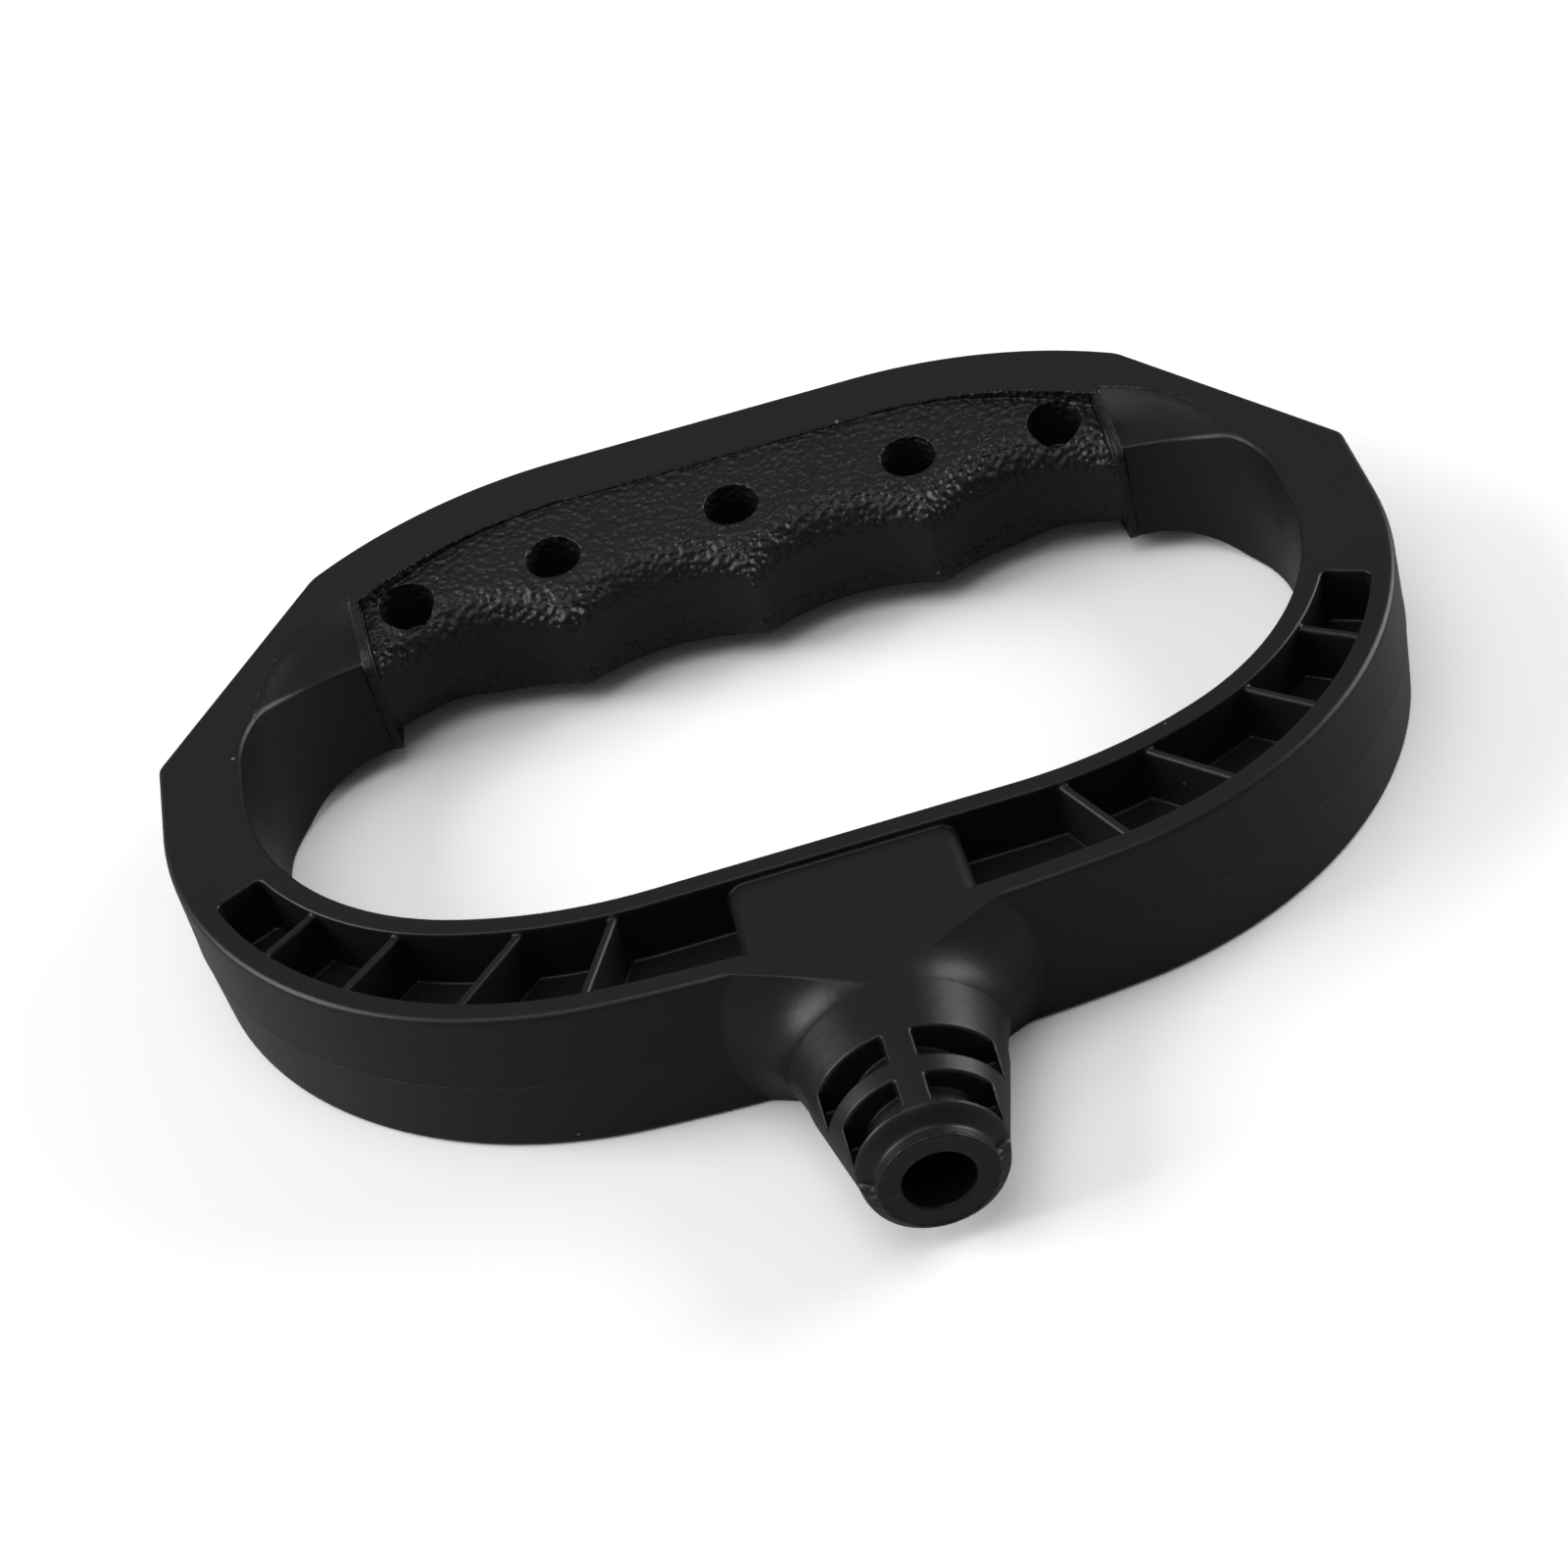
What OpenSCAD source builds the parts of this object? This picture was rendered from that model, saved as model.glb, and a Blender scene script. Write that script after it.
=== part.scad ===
// Recoil starter handle: one moulded D shaped pull handle with a finger grip, a ribbed
// front band and a slotted rope nozzle. It lies flat on one of its two equal faces.
// X runs across the handle, the nozzle points to -Y and the grip is on +Y.
// The origin is at the middle of its length and width, on the lower face. The modules work
// from the corner line, which joins the two side corners, and the last one moves the part.

/* [Body] */
// Width across the two side corners at the parting line
overall_w = 151; // [130:1:170]
// Thickness between the two flat faces
thick = 20; // [16:0.5:26]
// How far the mould draft brings each wall out at the parting line
draft = 0.3; // [0.1:0.05:0.6]
// Rounding of the long outer and inner edges
edge_r = 0.8; // [0.4:0.1:1.2]

/* [Outline] */
// Front face of the middle of the band, measured from the corner line
front_y = 65.6; // [60:0.2:72]
// Radius of the shallow front curve
front_r = 280; // [220:5:400]
// Radius of the two shoulders that join the front to the sides
shoulder_r = 51.5; // [46:0.5:54]
// Back face of the grip, measured from the corner line
back_y = 42.1; // [38:0.2:46]
// Distance of the back curve centres inwards from the side line
back_in = 55.2; // [50:0.2:60]
// Radius of the back curves
back_r = 57; // [50:0.5:66]
// Slope of the straight side chamfers, in degrees from the X axis
chamfer_deg = 55.6; // [50:0.2:60]
// Rounding of the side corners in plan
side_corner_r = 2; // [1.6:0.1:4]
// Rounding of the rear corners in plan
rear_corner_r = 5; // [2:0.1:8]

/* [Hand opening] */
// Near edge of the hand opening, measured from the corner line
open_near = 47.2; // [44:0.2:50]
// Width of the band at the two sides
side_band = 9.95; // [8:0.05:13]
// Radius of the first near curve
open_r1 = 56; // [50:0.5:64]
// Sweep of the first near curve in degrees
open_sweep = 24; // [20:0.5:28]
// Radius of the second near curve
open_r2 = 36.2; // [33:0.2:39]
// Radius of the far corners of the opening
open_r3 = 17.5; // [15:0.5:19]
// Height of the far corner centres from the corner line
open_r3_y = -4; // [-6:0.5:-2]

/* [Finger grip] */
// Radius of each finger groove
groove_r = 18.6; // [17.5:0.1:20]
// How far the groove centres are shifted inwards from an even spacing
groove_shift = 0.15; // [0:0.05:0.5]
// Inner groove centres, from the corner line
groove_in_y = -1.3; // [-2.5:0.1:0]
// Outer groove centres, from the corner line
groove_out_y = -0.4; // [-2:0.1:1]
// How far the rounding of the upper grip edge runs outwards
grip_round_w = 4.2; // [3:0.1:5]
// How deep the rounding of the upper grip edge runs
grip_round_h = 4.6; // [3:0.1:5.5]
// How far the smaller rounding of the lower grip edge runs, outwards and deep
grip_low = 2; // [1:0.1:3]
// Step from the rim down to the textured panel
panel_step = 0.5; // [0.3:0.1:1.2]
// Slope of the textured panel in degrees
panel_deg = 9; // [5:0.5:12]
// Width of the rim behind the panel
back_rim = 9.6; // [8:0.2:11]
// Distance of the grip end ribs outwards from the far corner centres of the opening
ridge_out = 1.45; // [0.5:0.05:3]
// Thickness of the grip end ribs
ridge_t = 1.0; // [0.8:0.1:2]
// How far the grip end ribs stand out of the wall
ridge_h = 1.0; // [0.5:0.1:1.6]

/* [Grip holes] */
// Diameter of the five blind holes in each face of the grip
hole_d = 7.1; // [5:0.1:8]
// Depth of the holes below the face
hole_depth = 8.4; // [5:0.2:8.6]
// Distance of the second and fourth holes inwards from the crest between the grooves
hole_in1 = 1; // [0:0.1:3]
// Distance of the end holes inwards from the grip end ribs
hole_in2 = 6.2; // [5:0.1:8]
// Middle hole, from the corner line
hole_y0 = 23.8; // [22:0.2:25]
// Second and fourth holes, from the corner line
hole_y1 = 23.4; // [22:0.2:25]
// End holes, from the corner line
hole_y2 = 22.4; // [21:0.2:24]

/* [Thumb reliefs] */
// Distance of the relief centre inwards from the grip end rib
relief_in = 8.2; // [6:0.2:10]
// Centre of the relief, from the corner line
relief_y = 4; // [2:0.5:6]
// Outer radius of the relief
relief_r = 21.8; // [20:0.2:23]
// Width of the curved slope of the relief
relief_w = 7.8; // [5:0.2:10]
// Depth of the relief
relief_d = 2.9; // [1:0.1:3.6]

/* [Front pockets] */
// Thickness of the rims on both sides of the pockets
rim_t = 2.9; // [2:0.1:4]
// Depth of each pocket
pocket_d = 7.5; // [5:0.1:8.6]
// Thickness of the cross ribs
rib_t = 1.1; // [0.8:0.1:2]
// How far the cross ribs stay below the rim
rib_drop = 0.5; // [0.2:0.1:2]
// End of each pocket: a point on its end wall, inwards from the side line
pocket_end_in = 8.2; // [6:0.2:11]
// End of each pocket: the same point, from the corner line
pocket_end_y = -27.6; // [-30:0.2:-25]
// Slope of the end wall in degrees
pocket_end_deg = -28; // [-40:1:-15]
// First cross rib: middle of the rib, inwards from the side line
rib1_in = 13; // [11:0.2:15]
// First cross rib: middle of the rib from the corner line
rib1_y = -37.1; // [-39:0.2:-35]
// First cross rib: slope in degrees
rib1_deg = -38; // [-50:1:-25]
// Second cross rib: middle of the rib, inwards from the side line
rib2_in = 21.5; // [19:0.2:24]
// Second cross rib: middle of the rib from the corner line
rib2_y = -46; // [-48:0.2:-44]
// Second cross rib: slope in degrees
rib2_deg = -44; // [-60:1:-30]
// Third cross rib: middle of the rib, inwards from the side line
rib3_in = 34.3; // [32:0.2:37]
// Third cross rib: middle of the rib from the corner line
rib3_y = -52.8; // [-55:0.2:-51]
// Third cross rib: slope in degrees
rib3_deg = -48; // [-65:1:-35]
// Fourth cross rib: middle of the rib, inwards from the side line
rib4_in = 46.4; // [43:0.2:50]
// Fourth cross rib: middle of the rib from the corner line
rib4_y = -56.1; // [-58:0.2:-54]
// Fourth cross rib: slope in degrees
rib4_deg = -66; // [-80:1:-50]

/* [Rope block and nozzle] */
// Half width of the solid block between the pockets
block_half = 13.3; // [12:0.1:15]
// How far the block face lies below the inner rim
block_drop = 0.9; // [0.3:0.1:1.4]
// How far the block face and the flare lie below the front rim
front_drop = 0.1; // [0.1:0.05:0.3]
// Rounding of the block side edges
block_round = 2.2; // [0.8:0.1:2.4]
// Tip of the nozzle, from the corner line
tip_y = 93.8; // [88:0.2:98]
// Radius of the rope bore
bore_r = 4; // [2.5:0.1:4.6]
// Radius of the flat end face and of the inner tube
tube_r = 6.2; // [5.4:0.1:6.6]
// Radius of the flare where it leaves the band
flare_r = 17.5; // [16:0.1:19]
// Where the flare meets the nozzle, from the corner line
neck_y = 73.5; // [72:0.1:75]
// Radius of the nozzle at its base
nozzle_r1 = 12.8; // [12:0.1:13.5]
// Length of the short collar at the base of the nozzle
collar_l = 2; // [1:0.1:3]
// Radius of the nozzle in front of the collar
collar_r = 11.7; // [11.4:0.1:12.4]
// Half height of the nozzle at its base, where it is flattened to fit the block
nozzle_z1 = 9.8; // [9:0.1:10]
// Radius of the curves that flatten the nozzle base above and below
flat_r = 13; // [12:0.1:15]
// Radius of the nozzle behind its rounded nose
nozzle_r2 = 8.2; // [7.6:0.1:9]
// Start of the rounded nose, from the corner line
nose_y = 91; // [90:0.1:92]
// Radius of the neck that the upper half of the nose has behind the flat end
neck_r = 6.5; // [6.3:0.05:7]
// Length of the curve that runs down to the neck
neck_l = 1.9; // [1.4:0.1:2.6]
// Start of the first row of windows
win1_y = 80; // [78:0.1:81]
// Length of the first row of windows
win1_l = 3.8; // [2.5:0.1:4.5]
// Start of the second row of windows
win2_y = 86.3; // [85.5:0.1:87]
// Length of the second row of windows
win2_l = 3.9; // [2.5:0.1:4]
// Thickness of the upper and lower nozzle ribs
top_rib = 3.2; // [2:0.1:5]
// Thickness of the side walls of the nozzle
side_wall = 0.9; // [0.7:0.1:2]
// Thickness of the web between the upper and the lower windows
web_t = 1.2; // [0.8:0.1:2]
// Radius of the knot recess at the hand side of the block
knot_r = 7; // [5:0.1:7.6]
// Depth of the knot recess
knot_l = 11; // [6:0.5:14]

/* [Hidden] */
$fn = 96;
mid = thick / 2;
half_w = overall_w / 2 - draft;
over = 3;
black = [0.10, 0.10, 0.11];

// Front curve and shoulders touch each other, so their centres follow from the radii.
back_half = half_w - back_in;
front_c = [0, -front_y + front_r];
shoulder_x = half_w - shoulder_r;
front_a = asin(shoulder_x / (front_r - shoulder_r));
shoulder_c = [shoulder_x, front_c[1] - (front_r - shoulder_r) * cos(front_a)];

// Side chamfer: a straight line through the side corner, and its outward normal.
chamfer_p = [half_w, 0];
chamfer_n = [sin(chamfer_deg), cos(chamfer_deg)];
back_c = [back_half, back_y - back_r];

// Side corner centre: at its radius inside the side line and inside the chamfer.
side_c = [
    half_w - side_corner_r,
    ((chamfer_p * chamfer_n) - side_corner_r - (half_w - side_corner_r) * chamfer_n[0]) / chamfer_n[1]
];

// Rear corner centre: at its radius inside the chamfer and inside the back curve.
rear_k = (chamfer_p * chamfer_n) - rear_corner_r - back_c * chamfer_n;
rear_s = sqrt(pow(back_r - rear_corner_r, 2) - rear_k * rear_k);
rear_c = back_c + rear_k * chamfer_n + rear_s * [-chamfer_n[1], chamfer_n[0]];
rear_a = atan2(rear_c[1] - back_c[1], rear_c[0] - back_c[0]);
chamfer_a = 90 - chamfer_deg;

// Pieces of an outline overlap a little. The one that bends more runs into its neighbour, and
// the flatter one stands a few thousandths of a millimetre proud, so that they join cleanly.
lap = 0.3;
proud = 0.003;
land = 4 * proud;
band_w = 1.8;
core_in = 1.4;
lip_w = 2;

// Each arc is its centre, its radius, its first and last angle, how far it stands proud, and
// whether it runs on past its first and its last angle. All are on the +X side.
outer_arcs = [
    [shoulder_c, shoulder_r, -90 + front_a, 0, proud, 1, 1],
    [side_c, side_corner_r, 0, chamfer_a, 0, 1, 1],
    [rear_c, rear_corner_r, chamfer_a, rear_a, 0, 1, 1],
    [back_c, back_r, rear_a, 90, proud, 0, 1]
];
front_arc = [front_c, front_r, -90 - front_a, -90 + front_a, 2 * proud, 0, 0];

// Opening: the second curve touches the first, and the far corner stands over it. The straight
// near edge takes up the length that the curves leave.
open_flat = half_w - side_band - open_r2 - (open_r1 - open_r2) * sin(open_sweep);
open_c1 = [open_flat, -open_near + open_r1];
open_c2 = open_c1 + (open_r1 - open_r2) * [sin(open_sweep), -cos(open_sweep)];
open_c3 = [open_c2[0] + open_r2 - open_r3, open_r3_y];
ridge_x = open_c3[0] + ridge_out;
far_a = acos(ridge_out / open_r3);
open_arcs = [
    [open_c1, open_r1, -90, -90 + open_sweep, 1.5 * proud, 1, 0],
    [open_c2, open_r2, -90 + open_sweep, 0, proud, 1, 1],
    [open_c3, open_r3, 0, far_a, 0, 1, 0]
];
// The core of the opening stays short of the finger grooves.
open_core_y = 10;
// Inner wall where the grip end ribs cross it.
wall_y = open_c3[1] + open_r3 * sin(far_a);

// Four grooves share the length between the grip end ribs.
groove_in_x = ridge_x / 4 - groove_shift;
groove_out_x = 3 * ridge_x / 4 - groove_shift;
hole_x1 = ridge_x / 2 - hole_in1;
hole_x2 = ridge_x - hole_in2;
relief_x = ridge_x - relief_in;

function on_arc(a, t, grow = 0) = a[0] + (a[1] + grow) * [cos(t), sin(t)];
function steps(arcs, grow = 0, n = 8) = [
    for (a = arcs) for (i = [0 : n]) on_arc(a, a[2] + (a[3] - a[2]) * i / n, grow)
];
function mirrored(p) = [for (i = [len(p) - 1 : -1 : 0]) [-p[i][0], p[i][1]]];
function both(p) = concat(p, mirrored(p));

// Section of an outer edge band: straight inside, drafted and rounded outside. It stands
// proud by g, and its flat stays a hundredth of a millimetre under the face of the core.
function edge_points(r, top, lo) = [
    for (i = [0 : 4]) let (t = lo + 90 * i / 4)
        [r - edge_r + edge_r * cos(t), sign(top) * (abs(top) - edge_r) + edge_r * sin(t)]
];
function outer_section(r, g) = concat(
    [[r - band_w, -mid + land - g]],
    edge_points(r + g, -mid + land - g, -90),
    [[r + draft + g, 0]],
    edge_points(r + g, mid - land + g, 0),
    [[r - band_w, mid - land + g]]
);
// Section of an inner edge band, taken away from the body: it widens at both faces. The
// rounding ends just below the face, so that the band crosses the face squarely.
lip_land = 0.02;
function inner_lip(r) = [
    for (i = [0 : 4]) let (t = 90 - 22.5 * i)
        [r + edge_r - edge_r * sin(t), mid - lip_land - edge_r + edge_r * cos(t)]
];
function inner_section(r) = concat(
    [[r - lip_w, -mid - over], [r + edge_r, -mid - over]],
    mirror_z(inner_lip(r)),
    [[r - draft, 0]],
    inner_lip(r),
    [[r + edge_r, mid + over], [r - lip_w, mid + over]]
);
function mirror_z(p) = [for (i = [len(p) - 1 : -1 : 0]) [p[i][0], -p[i][1]]];

module run_arc(a) {
    more = lap / a[1] * 180 / PI;
    translate([a[0][0], a[0][1], mid])
        rotate([0, 0, a[2] - a[5] * more])
            rotate_extrude(angle = a[3] - a[2] + (a[5] + a[6]) * more)
                children();
}

module run_line(p, q) {
    d = q - p;
    translate([p[0], p[1], mid])
        rotate([0, 0, atan2(d[1], d[0])])
            rotate([90, 0, 90])
                linear_extrude(norm(d))
                    children();
}

module two_sides() {
    children();
    mirror([1, 0, 0]) children();
}

module two_faces() {
    children();
    translate([0, 0, thick]) mirror([0, 0, 1]) children();
}

// Body inside the outer outline: a flat core and an exact edge band that overlap.
module outer_body() {
    front_half = [front_c, front_r, -90 + front_a / 4, -90 + front_a * 3 / 4];
    core = both(concat(
        steps([front_half], -core_in, 2),
        steps(outer_arcs, -core_in, 10)
    ));
    linear_extrude(thick) polygon(core);
    two_sides() {
        for (a = outer_arcs)
            run_arc(a) polygon(outer_section(a[1], a[4]));
        line_edge(on_arc(outer_arcs[0], 0), on_arc(outer_arcs[1], 0));
        line_edge(on_arc(outer_arcs[1], chamfer_a), on_arc(outer_arcs[2], chamfer_a));
    }
    line_edge(on_arc(outer_arcs[3], 90), [-back_half, back_y]);
    run_arc(front_arc) polygon(outer_section(front_r, front_arc[4]));
}

// Straight edge band: the path runs with the body on its left.
module line_edge(p, q) {
    run_line(p, q)
        mirror([1, 0, 0]) polygon(outer_section(0, 2 * proud));
}

// Everything the hand goes through: the smooth oval part of the opening.
module opening_cut() {
    core = both(concat(
        steps([open_arcs[0], open_arcs[1]], -0.9, 10),
        steps([[open_c3, open_r3, 0, far_a]], -0.9, 8),
        [[ridge_x, open_core_y]]
    ));
    translate([0, 0, -over]) linear_extrude(thick + 2 * over) polygon(core);
    two_sides() {
        for (a = open_arcs)
            run_arc(a) polygon(inner_section(a[1] + a[4]));
        line_lip(on_arc(open_arcs[1], 0), on_arc(open_arcs[2], 0));
    }
    line_lip([-open_flat, -open_near], [open_flat, -open_near]);
}

// Straight inner edge band: the path runs with the hole on its left.
module line_lip(p, q) {
    run_line(p, q)
        mirror([1, 0, 0]) polygon(inner_section(2 * proud));
}

// One finger groove: a spool that flares at both faces to round the grip. Its flare ends where
// the sloping panel starts behind the outer grooves.
function groove_top(w) =
    panel_step + tan(panel_deg) * (back_y - back_rim - groove_out_y - groove_r - w) + 0.05;
function round_over(w, h) = [
    for (i = [0 : 6]) let (t = 15 * i)
        [groove_r + w * (1 - cos(t)), mid - h - groove_top(w) + h * sin(t)]
];
function groove_side(w, h) = concat(round_over(w, h), [[groove_r + w, mid + over], [0, mid + over]]);
module groove(x, y) {
    up = groove_side(grip_round_w, grip_round_h);
    low = groove_side(grip_low, grip_low);
    translate([x, y, mid]) rotate_extrude() polygon(concat(up, mirror_z(low)));
}

// The grooves only act between the grip end ribs.
module grooves() {
    intersection() {
        two_sides() {
            groove(groove_in_x, groove_in_y);
            groove(groove_out_x, groove_out_y);
        }
        translate([-ridge_x, -12, -over])
            cube([2 * ridge_x, back_y, thick + 2 * over]);
    }
}

// Outline of the textured panel: the rim behind it follows the back of the handle.
module panel_outline() {
    x = ridge_x - ridge_t / 2;
    r = back_r - back_rim;
    intersection() {
        translate([-x, -12]) square([2 * x, back_y + 12 - back_rim]);
        union() {
            translate([-back_half, -20]) square([2 * back_half, 80]);
            two_sides() translate(back_c) circle(r);
        }
    }
}

// The panel slopes down from its step towards the fingers.
module panel_cut() {
    y0 = back_y - back_rim;
    intersection() {
        linear_extrude(thick + over) panel_outline();
        translate([-60, y0, thick - panel_step])
            rotate([panel_deg, 0, 0])
                translate([0, -60, 0]) cube([120, 70, 20]);
    }
}

// Smooth curved relief beside each grip end.
module relief_cut() {
    n = 6;
    slope = [
        for (i = [0 : n]) let (u = (i - 0.5) / (n - 0.5))
            [relief_r - relief_w * u, mid - relief_d * (1 - (1 - u) * (1 - u))]
    ];
    x0 = ridge_x - ridge_t / 2;
    two_sides() intersection() {
        translate([relief_x, relief_y, mid])
            rotate_extrude()
                polygon(concat(
                    [[slope[0][0], mid + over]],
                    slope,
                    [[0, mid - relief_d], [0, mid + over]]
                ));
        translate([x0, -1, 0]) cube([30, 60, thick + over]);
    }
}

module hole_cut(x, y) {
    translate([x, y, thick - hole_depth]) cylinder(d = hole_d, h = hole_depth + over);
}

module grip_holes() {
    hole_cut(0, hole_y0);
    two_sides() {
        hole_cut(hole_x1, hole_y1);
        hole_cut(hole_x2, hole_y2);
    }
}

// Plan of one pocket: it follows both outlines at the thickness of the rims.
pocket_a = -12;
front_pocket_a = asin(block_half / (front_r - rim_t)) - 90;
pocket_points = concat(
    steps([[front_c, front_r, front_pocket_a, -90 + front_a]], -rim_t, 3),
    steps([[shoulder_c, shoulder_r, -90 + front_a, pocket_a]], -rim_t, 16),
    steps([[open_c2, open_r2, pocket_a, -90 + open_sweep]], rim_t, 12),
    steps([[open_c1, open_r1, -90 + open_sweep, -90]], rim_t, 5),
    [[block_half, -open_near - rim_t]]
);

// Cross rib: its centre in plan and its slope, on the +X side.
ribs = [
    [half_w - rib1_in, rib1_y, rib1_deg],
    [half_w - rib2_in, rib2_y, rib2_deg],
    [half_w - rib3_in, rib3_y, rib3_deg],
    [half_w - rib4_in, rib4_y, rib4_deg]
];

module pocket_plan() {
    difference() {
        polygon(pocket_points);
        translate([half_w - pocket_end_in, pocket_end_y])
            rotate(pocket_end_deg)
                translate([-60, 0]) square([120, 120]);
    }
}

module pocket_cut() {
    two_sides() difference() {
        translate([0, 0, thick - pocket_d])
            linear_extrude(pocket_d + over) pocket_plan();
        for (r = ribs)
            translate([r[0], r[1], thick - pocket_d - 1])
                rotate(r[2])
                    translate([-9, -rib_t / 2, 0]) cube([18, rib_t, pocket_d + 1 - rib_drop]);
    }
}

// The block face rises from below the inner rim to the front rim, and its side edges are round.
block_l = front_y - open_near - 2 * rim_t;
block_tilt = atan((block_drop - front_drop) / block_l);
module block_face_cut() {
    translate([0, -open_near - rim_t, thick - block_drop])
        rotate([-block_tilt, 0, 0]) {
            translate([-block_half, -block_l, 0]) cube([2 * block_half, block_l, over]);
            two_sides() rotate([90, 0, 0]) linear_extrude(block_l) difference() {
                translate([block_half - block_round, -block_round])
                    square([block_round + 0.5, block_round + 1]);
                translate([block_half - block_round, -block_round]) circle(block_round);
            }
        }
    translate([-block_half, -front_y - 12, thick - front_drop])
        cube([2 * block_half, 12 + rim_t + 0.5, over]);
}

// Flare and nozzle: round about the bore, then flattened above and below by two wider
// curves of the same kind, whose axes lie off the bore axis at the base and meet it at the nose.
function ease(a, b, u) = b + (a - b) * (1 - u) * (1 - u);
flat_off = flat_r - nozzle_z1;
flare_in = 3;
function flare_side(r0, r1) = concat(
    [[0, front_y - flare_in], [r0, front_y - flare_in]],
    [for (i = [0 : 6]) [ease(r0, r1, i / 6), front_y + (neck_y - front_y) * i / 6]]
);
nose_side = [
    for (i = [0 : 4]) let (t = 22.5 * i)
        [tube_r + (nozzle_r2 - tube_r) * cos(t), nose_y + (tip_y - nose_y) * sin(t)]
];

module about_bore(off) {
    translate([0, 0, mid + off]) rotate([90, 0, 0]) rotate_extrude() children();
}

module round_shell() {
    collar = [[collar_r, neck_y + collar_l]];
    about_bore(0)
        polygon(concat(flare_side(flare_r, nozzle_r1), collar, nose_side, [[0, tip_y]]));
}

// Upper curve: flare part, then a cone whose axis climbs back to the bore axis.
module flat_shell() {
    lean = atan(flat_off / (nose_y - neck_y));
    long = norm([flat_off, nose_y - neck_y]);
    about_bore(-flat_off)
        polygon(concat(flare_side(flare_r + flat_off + 1, flat_r), [[0, neck_y]]));
    translate([0, -neck_y, mid - flat_off])
        rotate([90 - lean, 0, 0])
            translate([0, 0, -0.6])
                cylinder(h = long + 0.6, r1 = flat_r + 0.6 * (flat_r - nozzle_r2) / long, r2 = nozzle_r2);
    about_bore(0) polygon([
        [0, nose_y - 1],
        [nozzle_r2, nose_y - 0.3],
        [nozzle_r2 + 1, nose_y],
        [nozzle_r2 + 1, tip_y + 1],
        [0, tip_y + 1]
    ]);
}

module nozzle_shell() {
    intersection() {
        round_shell();
        flat_shell();
        translate([0, 0, thick]) mirror([0, 0, 1]) flat_shell();
        translate([-40, -120, front_drop]) cube([80, 120, thick - 2 * front_drop]);
    }
}

module along_nozzle(y0, y1) {
    translate([0, -y0, mid]) rotate([90, 0, 0]) linear_extrude(y1 - y0) children();
}

// A row of windows: open from above down to the web, between the tube and the side walls. The
// nozzle is a straight cone there, so its radius at the middle of the row sets the walls.
cone_y = neck_y + collar_l;
function cone_r(y) = collar_r + (nozzle_r2 - collar_r) * (y - cone_y) / (nose_y - cone_y);
module window_row(y0, l) {
    half = cone_r(y0 + l / 2) - side_wall;
    along_nozzle(y0, y0 + l) difference() {
        square([2 * half, 40], center = true);
        circle(tube_r);
        square([top_rib, 50], center = true);
        square([50, web_t], center = true);
    }
}

// The neck: the upper half of the nose narrows in a curve from just behind the nose.
module neck_cut() {
    n = 6;
    curve = [
        for (i = [0 : n]) let (u = i / n)
            [nozzle_r2 + 0.2 + (neck_r - nozzle_r2 - 0.2) * u * u * (3 - 2 * u), nose_y - 0.4 + neck_l * u]
    ];
    intersection() {
        about_bore(0) polygon(concat(
            curve,
            [[neck_r, tip_y + 1], [nozzle_r2 + 3, tip_y + 1], [nozzle_r2 + 3, nose_y - 0.4]]
        ));
        translate([-20, -tip_y - 2, mid]) cube([40, 10, 20]);
    }
}

module nozzle() {
    difference() {
        nozzle_shell();
        neck_cut();
        window_row(win1_y, win1_l);
        window_row(win2_y, win2_l);
    }
}

module rope_way() {
    along_nozzle(open_near - over, tip_y + over) circle(bore_r);
    along_nozzle(open_near - over, open_near + knot_l) circle(knot_r);
}

// Thin rib across the grip end: it stands proud of the relief and of the inner wall.
module end_ridge() {
    top = thick - relief_d + 0.7;
    back = back_y - back_rim - 8;
    half = [
        [back + 2, thick],
        [back, thick],
        [wall_y + 0.8, top],
        [wall_y - 0.2, top - 0.5],
        [wall_y - ridge_h, top - 1.6]
    ];
    low = [for (i = [len(half) - 1 : -1 : 0]) [half[i][0], thick - half[i][1]]];
    translate([ridge_x - ridge_t / 2, 0, 0])
        rotate([90, 0, 90])
            linear_extrude(ridge_t) polygon(concat(half, low));
}

// The middle of the length comes to Y = 0.
middle_y = (tip_y - back_y - draft) / 2;
module handle() {
    color(black) translate([0, middle_y, 0]) difference() {
        union() {
            difference() {
                outer_body();
                opening_cut();
                grooves();
                two_faces() {
                    panel_cut();
                    relief_cut();
                    grip_holes();
                    pocket_cut();
                    block_face_cut();
                }
            }
            nozzle();
            two_sides() end_ridge();
        }
        rope_way();
    }
}

handle();
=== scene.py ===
import math

import bpy
import numpy as np
from bpy.props import FloatProperty, FloatVectorProperty, IntProperty, PointerProperty
from mathutils import Matrix, Vector


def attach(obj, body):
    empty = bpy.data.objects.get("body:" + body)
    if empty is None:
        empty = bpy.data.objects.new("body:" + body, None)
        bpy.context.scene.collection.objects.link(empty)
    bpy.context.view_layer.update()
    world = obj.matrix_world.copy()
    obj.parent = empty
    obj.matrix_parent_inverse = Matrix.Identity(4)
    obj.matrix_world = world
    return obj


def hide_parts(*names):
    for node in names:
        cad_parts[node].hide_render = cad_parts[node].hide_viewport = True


bl_info = {
    "name": "Recoil starter handle",
    "version": (1, 0, 0),
    "blender": (4, 5, 0),
    "location": "View3D > Sidebar > Starter handle",
    "description": "Builds the visual model of a moulded recoil starter handle and its studio",
    "category": "Object",
}

MM = 0.001
# The CAD part's origin is the middle of its length. The shape below is measured from the line
# that joins the two side corners, in millimetres, with depth w measured from the parting plane.
MIDDLE_Y = 25.7
MID = 10.0
HALF_W = 75.2
DRAFT = 0.3


def sin(a):
    return math.sin(math.radians(a))


def cos(a):
    return math.cos(math.radians(a))


# ---------------------------------------------------------------- plan outlines


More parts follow.
